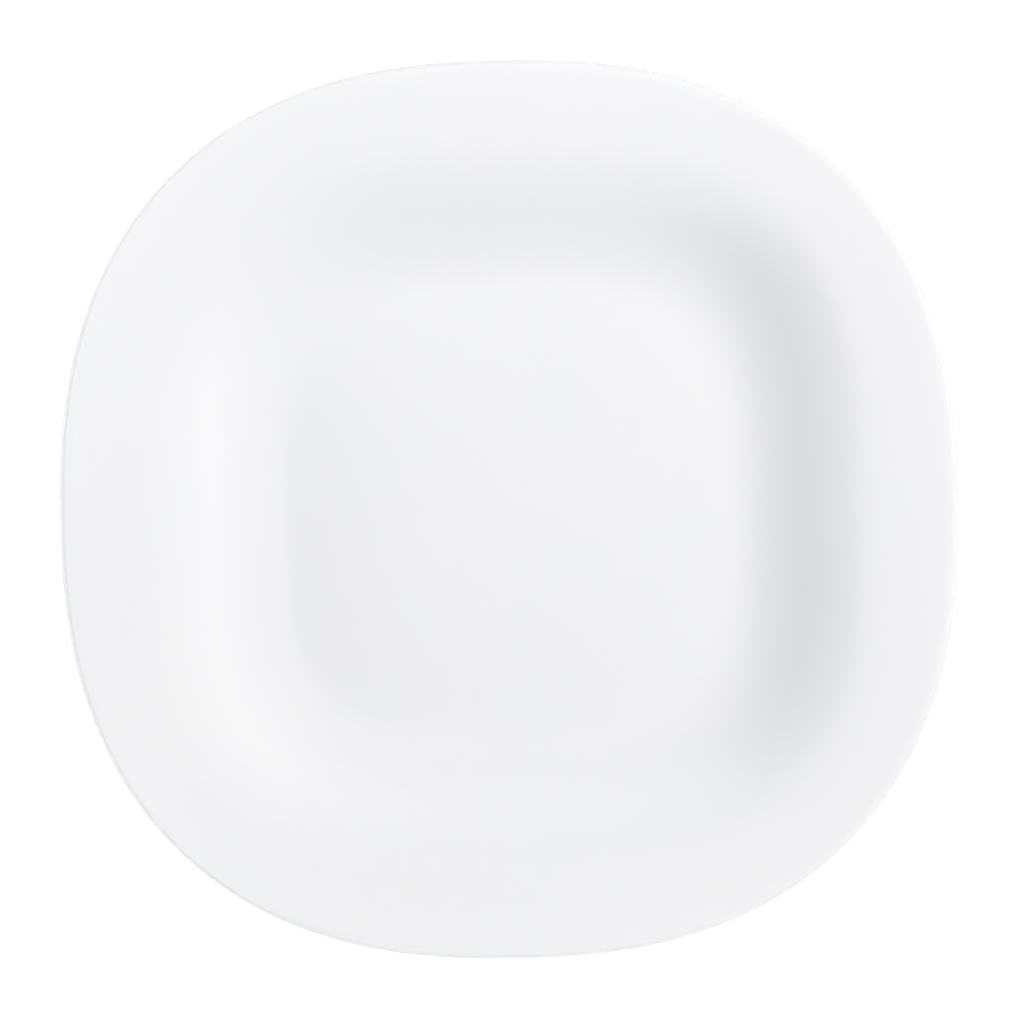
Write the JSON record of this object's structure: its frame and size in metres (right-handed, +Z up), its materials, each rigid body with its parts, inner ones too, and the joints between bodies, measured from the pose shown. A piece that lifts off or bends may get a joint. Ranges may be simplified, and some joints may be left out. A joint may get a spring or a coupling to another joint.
{
  "type": "square dinner plate",
  "caption": "Square dinner plate in white pressed opal glass, with bowed sides, round corners, a shallow well, a wide rim and a low foot ring.",
  "frame": {"origin": "on the table plane, at the centre of the foot ring's flat resting face", "axes": "+Z up, square to the table; X and Y square to the plate's bowed sides; the corners lie at 45 degrees"},
  "size_m": [0.26, 0.26, 0.019],
  "materials": {
    "opal_glass": "polished"
  },
  "bodies": {
    "root": {"plate": "opal_glass"}
  },
  "joints": []
}
